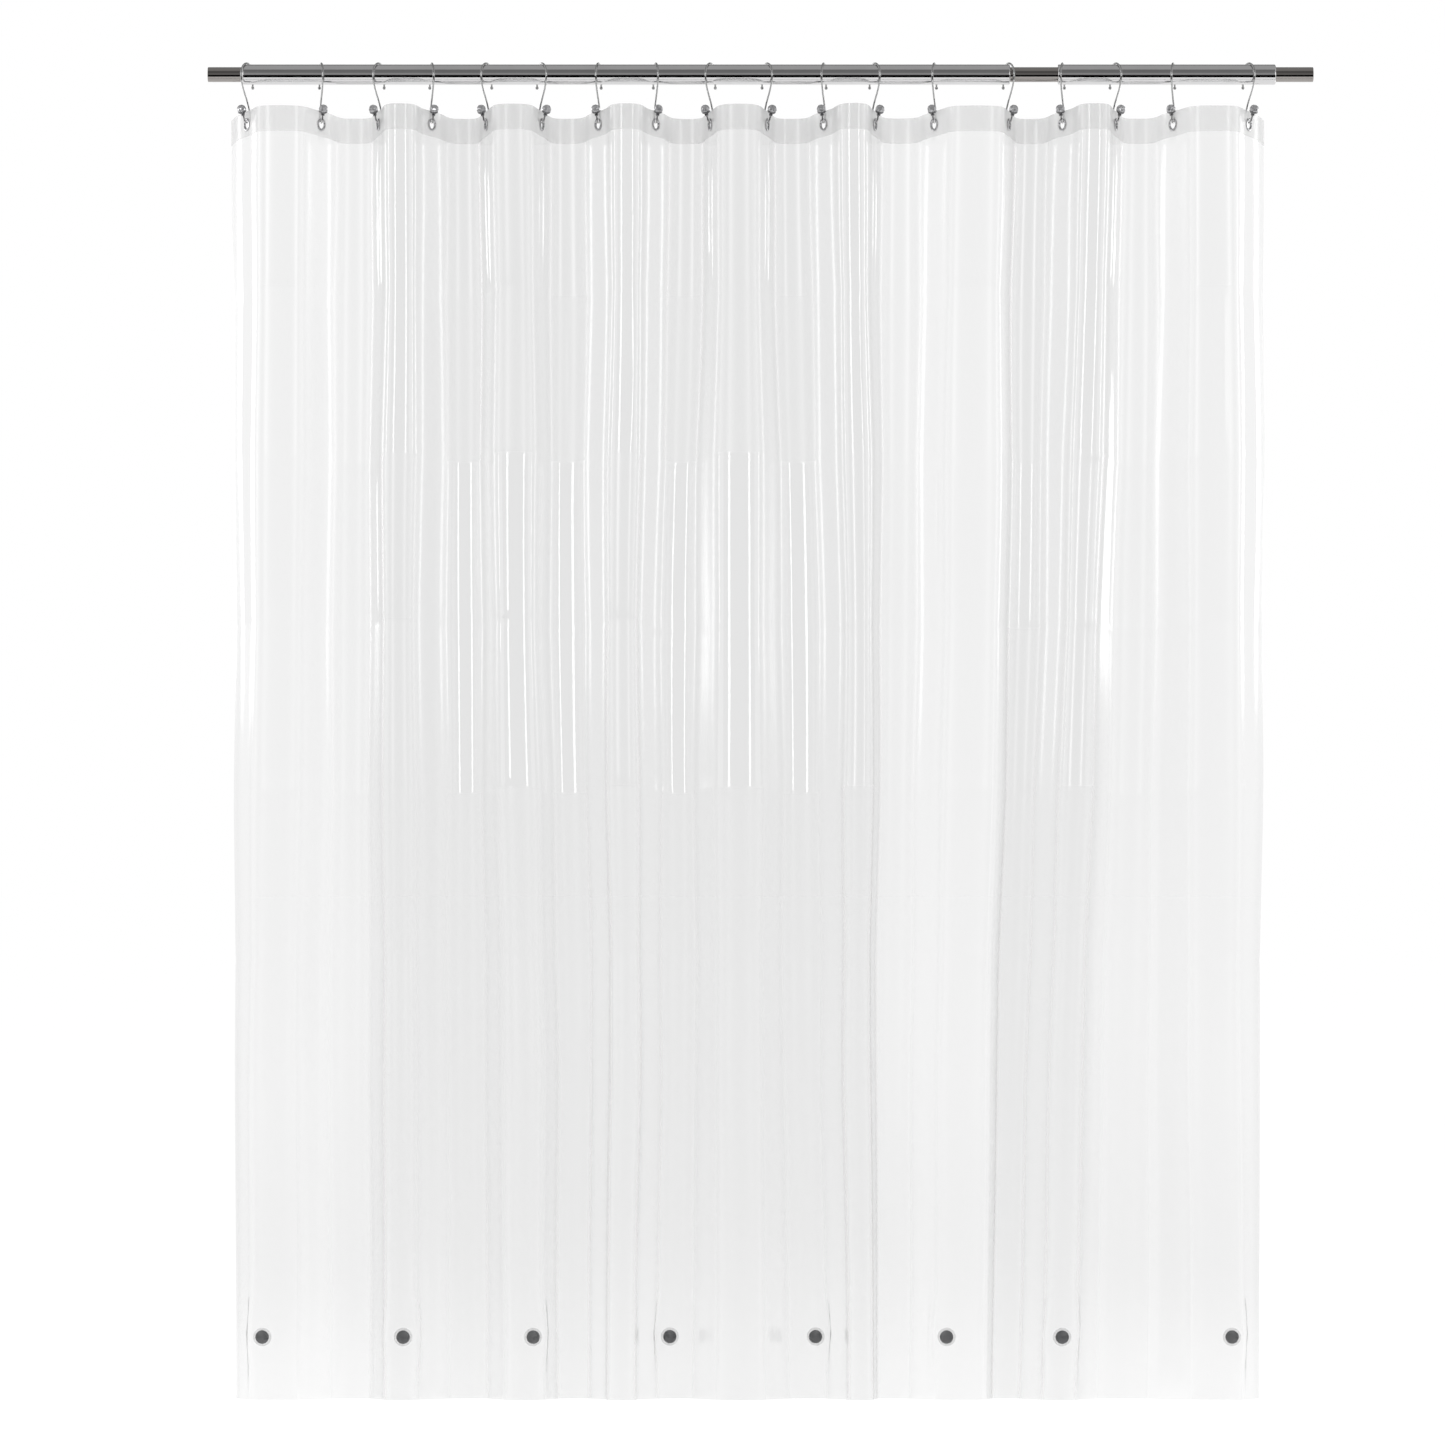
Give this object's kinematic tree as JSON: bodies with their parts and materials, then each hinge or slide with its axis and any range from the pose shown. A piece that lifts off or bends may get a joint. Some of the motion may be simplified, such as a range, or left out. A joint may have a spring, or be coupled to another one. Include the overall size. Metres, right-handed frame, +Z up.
{
  "type": "shower curtain",
  "caption": "Clear vinyl shower curtain with a frosted header, metal grommets, wire hooks with crystal balls, hem magnets and a telescopic chrome rod.",
  "frame": {"origin": "middle of the rod, on the rod's axis", "axes": "+X along the rod, to the right as seen from the room; -Y towards the room; +Z up, so the curtain hangs down -Z"},
  "size_m": [1.569, 0.1342, 1.9046],
  "materials": {
    "rod_chrome": "polished",
    "rod_dark_chrome": "polished, darker",
    "rod_plug": "matte",
    "clear_vinyl": "clear, glossy",
    "frosted_header": "frosted, translucent",
    "grommet_steel": "satin",
    "hook_chrome": "polished",
    "crystal": "clear, faceted",
    "magnet": "satin dark grey"
  },
  "bodies": {
    "rod": {"rod_left_tube": "rod_chrome", "rod_left_neck": "rod_dark_chrome", "rod_left_plug": "rod_plug", "rod_inner_tube": "rod_dark_chrome"},
    "rod_extension": {"rod_right_tube": "rod_chrome", "rod_right_neck": "rod_dark_chrome", "rod_right_plug": "rod_plug"},
    "curtain": {"hook_01": "hook_chrome", "grommet_01": "grommet_steel", "curtain_sheet": "clear_vinyl", "header_band": "frosted_header"},
    "carrier_18": {"hook_18": "hook_chrome", "grommet_18": "grommet_steel"},
    "carrier_02": {"hook_02": "hook_chrome", "grommet_02": "grommet_steel"},
    "carrier_03": {"hook_03": "hook_chrome", "grommet_03": "grommet_steel"},
    "carrier_04": {"hook_04": "hook_chrome", "grommet_04": "grommet_steel"},
    "carrier_05": {"hook_05": "hook_chrome", "grommet_05": "grommet_steel"},
    "carrier_06": {"hook_06": "hook_chrome", "grommet_06": "grommet_steel"},
    "carrier_07": {"hook_07": "hook_chrome", "grommet_07": "grommet_steel"},
    "carrier_08": {"hook_08": "hook_chrome", "grommet_08": "grommet_steel"},
    "carrier_09": {"hook_09": "hook_chrome", "grommet_09": "grommet_steel"},
    "carrier_10": {"hook_10": "hook_chrome", "grommet_10": "grommet_steel"},
    "carrier_11": {"hook_11": "hook_chrome", "grommet_11": "grommet_steel"},
    "carrier_12": {"hook_12": "hook_chrome", "grommet_12": "grommet_steel"},
    "carrier_13": {"hook_13": "hook_chrome", "grommet_13": "grommet_steel"},
    "carrier_14": {"hook_14": "hook_chrome", "grommet_14": "grommet_steel"},
    "carrier_15": {"hook_15": "hook_chrome", "grommet_15": "grommet_steel"},
    "carrier_16": {"hook_16": "hook_chrome", "grommet_16": "grommet_steel"},
    "carrier_17": {"hook_17": "hook_chrome", "grommet_17": "grommet_steel"},
    "magnet_carrier_1": {"magnet_1": "magnet"},
    "magnet_carrier_2": {"magnet_2": "magnet"},
    "magnet_carrier_3": {"magnet_3": "magnet"},
    "magnet_carrier_4": {"magnet_4": "magnet"},
    "magnet_carrier_5": {"magnet_5": "magnet"},
    "magnet_carrier_6": {"magnet_6": "magnet"},
    "magnet_carrier_7": {"magnet_7": "magnet"},
    "magnet_carrier_8": {"magnet_8": "magnet"}
  },
  "joints": [
    {"name": "rod_extend", "type": "slide", "parent": "rod", "child": "rod_extension", "axis": [1, 0, 0], "range_m": [-0.058, 0.18]},
    {"name": "curtain_swing", "type": "hinge", "parent": "rod", "child": "curtain", "pos_m": [0, 0, 0], "axis": [1, 0, 0], "range_deg": [-20, 20]},
    {"name": "curtain_draw", "type": "slide", "parent": "curtain", "child": "carrier_18", "axis": [-1, 0, 0], "range_m": [0, 0.924], "deforming": ["curtain_sheet", "header_band"]},
    {"name": "slide_02", "type": "slide", "parent": "curtain", "child": "carrier_02", "axis": [-1, 0, 0], "range_m": [0, 0.0692]},
    {"name": "slide_03", "type": "slide", "parent": "curtain", "child": "carrier_03", "axis": [-1, 0, 0], "range_m": [0, 0.1225]},
    {"name": "slide_04", "type": "slide", "parent": "curtain", "child": "carrier_04", "axis": [-1, 0, 0], "range_m": [0, 0.1712]},
    {"name": "slide_05", "type": "slide", "parent": "curtain", "child": "carrier_05", "axis": [-1, 0, 0], "range_m": [0, 0.2219]},
    {"name": "slide_06", "type": "slide", "parent": "curtain", "child": "carrier_06", "axis": [-1, 0, 0], "range_m": [0, 0.2727]},
    {"name": "slide_07", "type": "slide", "parent": "curtain", "child": "carrier_07", "axis": [-1, 0, 0], "range_m": [0, 0.3252]},
    {"name": "slide_08", "type": "slide", "parent": "curtain", "child": "carrier_08", "axis": [-1, 0, 0], "range_m": [0, 0.3779]},
    {"name": "slide_09", "type": "slide", "parent": "curtain", "child": "carrier_09", "axis": [-1, 0, 0], "range_m": [0, 0.4285]},
    {"name": "slide_10", "type": "slide", "parent": "curtain", "child": "carrier_10", "axis": [-1, 0, 0], "range_m": [0, 0.4806]},
    {"name": "slide_11", "type": "slide", "parent": "curtain", "child": "carrier_11", "axis": [-1, 0, 0], "range_m": [0, 0.5331]},
    {"name": "slide_12", "type": "slide", "parent": "curtain", "child": "carrier_12", "axis": [-1, 0, 0], "range_m": [0, 0.58]},
    {"name": "slide_13", "type": "slide", "parent": "curtain", "child": "carrier_13", "axis": [-1, 0, 0], "range_m": [0, 0.6352]},
    {"name": "slide_14", "type": "slide", "parent": "curtain", "child": "carrier_14", "axis": [-1, 0, 0], "range_m": [0, 0.7034]},
    {"name": "slide_15", "type": "slide", "parent": "curtain", "child": "carrier_15", "axis": [-1, 0, 0], "range_m": [0, 0.7534]},
    {"name": "slide_16", "type": "slide", "parent": "curtain", "child": "carrier_16", "axis": [-1, 0, 0], "range_m": [0, 0.8022]},
    {"name": "slide_17", "type": "slide", "parent": "curtain", "child": "carrier_17", "axis": [-1, 0, 0], "range_m": [0, 0.8555]},
    {"name": "slide_magnet_1", "type": "slide", "parent": "curtain", "child": "magnet_carrier_1", "axis": [-1, 0, 0], "range_m": [0, 0.0171]},
    {"name": "slide_magnet_2", "type": "slide", "parent": "curtain", "child": "magnet_carrier_2", "axis": [-1, 0, 0], "range_m": [0, 0.1469]},
    {"name": "slide_magnet_3", "type": "slide", "parent": "curtain", "child": "magnet_carrier_3", "axis": [-1, 0, 0], "range_m": [0, 0.266]},
    {"name": "slide_magnet_4", "type": "slide", "parent": "curtain", "child": "magnet_carrier_4", "axis": [-1, 0, 0], "range_m": [0, 0.3907]},
    {"name": "slide_magnet_5", "type": "slide", "parent": "curtain", "child": "magnet_carrier_5", "axis": [-1, 0, 0], "range_m": [0, 0.5259]},
    {"name": "slide_magnet_6", "type": "slide", "parent": "curtain", "child": "magnet_carrier_6", "axis": [-1, 0, 0], "range_m": [0, 0.6453]},
    {"name": "slide_magnet_7", "type": "slide", "parent": "curtain", "child": "magnet_carrier_7", "axis": [-1, 0, 0], "range_m": [0, 0.7508]},
    {"name": "slide_magnet_8", "type": "slide", "parent": "curtain", "child": "magnet_carrier_8", "axis": [-1, 0, 0], "range_m": [0, 0.9074]}
  ],
  "couplings": [
    {"joint": "slide_02", "follows": "curtain_draw", "ratio": 0.0738},
    {"joint": "slide_03", "follows": "curtain_draw", "ratio": 0.1315},
    {"joint": "slide_04", "follows": "curtain_draw", "ratio": 0.1842},
    {"joint": "slide_05", "follows": "curtain_draw", "ratio": 0.2391},
    {"joint": "slide_06", "follows": "curtain_draw", "ratio": 0.294},
    {"joint": "slide_07", "follows": "curtain_draw", "ratio": 0.3509},
    {"joint": "slide_08", "follows": "curtain_draw", "ratio": 0.4079},
    {"joint": "slide_09", "follows": "curtain_draw", "ratio": 0.4627},
    {"joint": "slide_10", "follows": "curtain_draw", "ratio": 0.519},
    {"joint": "slide_11", "follows": "curtain_draw", "ratio": 0.5759},
    {"joint": "slide_12", "follows": "curtain_draw", "ratio": 0.6266},
    {"joint": "slide_13", "follows": "curtain_draw", "ratio": 0.6864},
    {"joint": "slide_14", "follows": "curtain_draw", "ratio": 0.7602},
    {"joint": "slide_15", "follows": "curtain_draw", "ratio": 0.8143},
    {"joint": "slide_16", "follows": "curtain_draw", "ratio": 0.8671},
    {"joint": "slide_17", "follows": "curtain_draw", "ratio": 0.9248},
    {"joint": "slide_magnet_1", "follows": "curtain_draw", "ratio": 0.0174},
    {"joint": "slide_magnet_2", "follows": "curtain_draw", "ratio": 0.1579},
    {"joint": "slide_magnet_3", "follows": "curtain_draw", "ratio": 0.2868},
    {"joint": "slide_magnet_4", "follows": "curtain_draw", "ratio": 0.4218},
    {"joint": "slide_magnet_5", "follows": "curtain_draw", "ratio": 0.5681},
    {"joint": "slide_magnet_6", "follows": "curtain_draw", "ratio": 0.6973},
    {"joint": "slide_magnet_7", "follows": "curtain_draw", "ratio": 0.8115},
    {"joint": "slide_magnet_8", "follows": "curtain_draw", "ratio": 0.9809}
  ]
}
